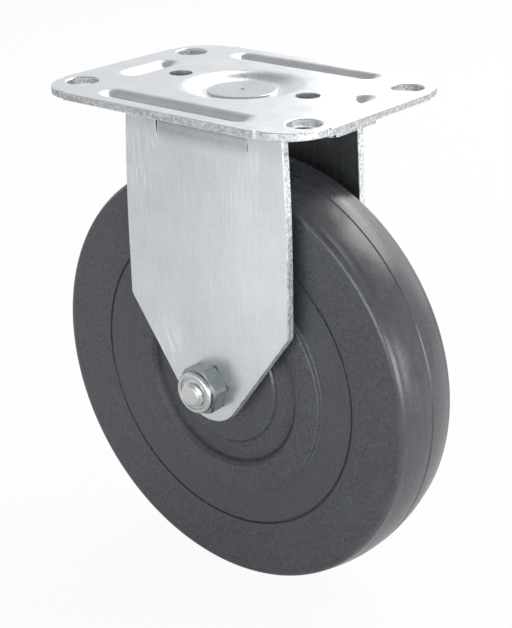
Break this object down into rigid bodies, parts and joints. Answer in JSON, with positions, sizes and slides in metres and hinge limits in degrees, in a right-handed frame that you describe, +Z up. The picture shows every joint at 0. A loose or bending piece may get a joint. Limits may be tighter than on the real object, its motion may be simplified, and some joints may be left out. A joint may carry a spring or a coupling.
{
  "type": "fixed castor",
  "caption": "Fixed castor: a pressed mounting plate with ribs and a dished centre, a folded steel fork riveted under it, and a moulded rubber wheel on a bolted axle.",
  "frame": {"origin": "centre of the four bolt holes, in the plane of the mounting plate's top face", "axes": "+Z up, out of the mounting face; +X along the plate's long side, the rolling direction; +Y along the axle towards the bolt's head"},
  "size_m": [0.127, 0.0698, 0.1465],
  "materials": {
    "zinc_plate": "bright zinc plated pressed steel, satin",
    "zinc_fastener": "bright zinc plated fastener",
    "hard_rubber": "matt moulded hard rubber",
    "cage_steel": "pressed steel with a film of grease",
    "roller_steel": "ground steel",
    "nylon_washer": "natural nylon",
    "nylon_insert": "natural nylon ring"
  },
  "bodies": {
    "bracket": {"top_plate": "zinc_plate", "fork": "zinc_plate", "centre_rivet": "zinc_plate", "spanner_bushing": "zinc_plate", "dust_washer_nut_side": "zinc_plate", "dust_washer_head_side": "zinc_plate", "thrust_washer_nut_side": "nylon_washer", "thrust_washer_head_side": "nylon_washer", "axle_bolt": "zinc_fastener", "lock_nut": "zinc_fastener", "nylon_insert": "nylon_insert"},
    "wheel": {"wheel": "hard_rubber", "hub_sleeve": "zinc_plate"},
    "cage": {"roller_cage": "cage_steel"},
    "roller_1": {"roller_1": "roller_steel"},
    "roller_2": {"roller_2": "roller_steel"},
    "roller_3": {"roller_3": "roller_steel"},
    "roller_4": {"roller_4": "roller_steel"},
    "roller_5": {"roller_5": "roller_steel"},
    "roller_6": {"roller_6": "roller_steel"},
    "roller_7": {"roller_7": "roller_steel"},
    "roller_8": {"roller_8": "roller_steel"},
    "roller_9": {"roller_9": "roller_steel"}
  },
  "joints": [
    {"name": "wheel_spin", "type": "hinge", "parent": "bracket", "child": "wheel", "pos_m": [0, 0, -0.083], "axis": [0, 1, 0], "continuous": true},
    {"name": "cage_spin", "type": "hinge", "parent": "bracket", "child": "cage", "pos_m": [0, 0, -0.083], "axis": [0, 1, 0], "continuous": true},
    {"name": "roller_1_spin", "type": "hinge", "parent": "cage", "child": "roller_1", "pos_m": [0, 0, -0.07501], "axis": [0, 1, 0], "continuous": true},
    {"name": "roller_2_spin", "type": "hinge", "parent": "cage", "child": "roller_2", "pos_m": [-0.00513, 0, -0.07688], "axis": [0, 1, 0], "continuous": true},
    {"name": "roller_3_spin", "type": "hinge", "parent": "cage", "child": "roller_3", "pos_m": [-0.00787, 0, -0.08161], "axis": [0, 1, 0], "continuous": true},
    {"name": "roller_4_spin", "type": "hinge", "parent": "cage", "child": "roller_4", "pos_m": [-0.00692, 0, -0.08699], "axis": [0, 1, 0], "continuous": true},
    {"name": "roller_5_spin", "type": "hinge", "parent": "cage", "child": "roller_5", "pos_m": [-0.00273, 0, -0.09051], "axis": [0, 1, 0], "continuous": true},
    {"name": "roller_6_spin", "type": "hinge", "parent": "cage", "child": "roller_6", "pos_m": [0.00273, 0, -0.09051], "axis": [0, 1, 0], "continuous": true},
    {"name": "roller_7_spin", "type": "hinge", "parent": "cage", "child": "roller_7", "pos_m": [0.00692, 0, -0.08699], "axis": [0, 1, 0], "continuous": true},
    {"name": "roller_8_spin", "type": "hinge", "parent": "cage", "child": "roller_8", "pos_m": [0.00787, 0, -0.08161], "axis": [0, 1, 0], "continuous": true},
    {"name": "roller_9_spin", "type": "hinge", "parent": "cage", "child": "roller_9", "pos_m": [0.00513, 0, -0.07688], "axis": [0, 1, 0], "continuous": true}
  ],
  "couplings": [
    {"joint": "cage_spin", "follows": "wheel_spin", "ratio": 0.59937},
    {"joint": "roller_1_spin", "follows": "wheel_spin", "ratio": 2.4164},
    {"joint": "roller_2_spin", "follows": "wheel_spin", "ratio": 2.4164},
    {"joint": "roller_3_spin", "follows": "wheel_spin", "ratio": 2.4164},
    {"joint": "roller_4_spin", "follows": "wheel_spin", "ratio": 2.4164},
    {"joint": "roller_5_spin", "follows": "wheel_spin", "ratio": 2.4164},
    {"joint": "roller_6_spin", "follows": "wheel_spin", "ratio": 2.4164},
    {"joint": "roller_7_spin", "follows": "wheel_spin", "ratio": 2.4164},
    {"joint": "roller_8_spin", "follows": "wheel_spin", "ratio": 2.4164},
    {"joint": "roller_9_spin", "follows": "wheel_spin", "ratio": 2.4164}
  ]
}
